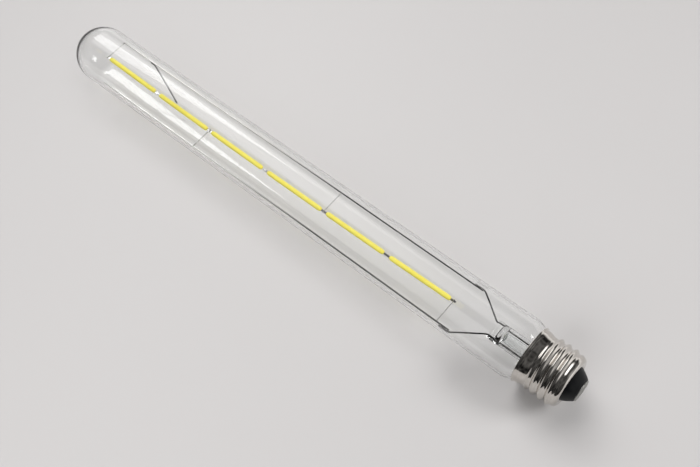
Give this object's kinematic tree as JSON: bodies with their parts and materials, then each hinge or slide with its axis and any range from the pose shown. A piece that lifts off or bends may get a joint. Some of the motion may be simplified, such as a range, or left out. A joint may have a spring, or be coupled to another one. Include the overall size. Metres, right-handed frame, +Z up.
{
  "type": "tubular light bulb",
  "caption": "Clear tubular light bulb on a screw cap, with a chain of yellow light strips tied to two side wires on a glass stem, and a small driver in the cap.",
  "frame": {"origin": "centre of the face of the centre contact", "axes": "+X along the tube's axis from the contact to the dome, +Z up as the lamp lies, +Y across"},
  "size_m": [0.3055, 0.0286, 0.0286],
  "materials": {
    "clear_glass": "clear, polished",
    "cap_metal": "bright nickel plate",
    "black_glass": "glossy",
    "contact_metal": "satin",
    "wire_metal": "dark, drawn",
    "carrier_metal": "satin",
    "phosphor": "smooth, matt",
    "board": "satin",
    "black_plastic": "satin"
  },
  "bodies": {
    "root": {"glass_envelope": "clear_glass", "screw_shell": "cap_metal", "cap_insulator": "black_glass", "centre_contact": "contact_metal", "upper_lead_wire": "wire_metal", "lower_lead_wire": "wire_metal", "upper_side_wire": "wire_metal", "lower_side_wire": "wire_metal", "support_spring": "wire_metal", "centre_lead_wire": "wire_metal", "link_wire_1": "wire_metal", "link_wire_2": "wire_metal", "link_wire_3": "wire_metal", "link_wire_4": "wire_metal", "filament_carrier_1": "carrier_metal", "filament_carrier_2": "carrier_metal", "filament_carrier_3": "carrier_metal", "filament_carrier_4": "carrier_metal", "filament_carrier_5": "carrier_metal", "filament_carrier_6": "carrier_metal", "shell_strap": "carrier_metal", "filament_coat_1": "phosphor", "filament_coat_2": "phosphor", "filament_coat_3": "phosphor", "filament_coat_4": "phosphor", "filament_coat_5": "phosphor", "filament_coat_6": "phosphor", "driver_board": "board", "smoothing_capacitor": "black_plastic", "bridge_rectifier": "black_plastic", "driver_chip": "black_plastic"}
  },
  "joints": []
}
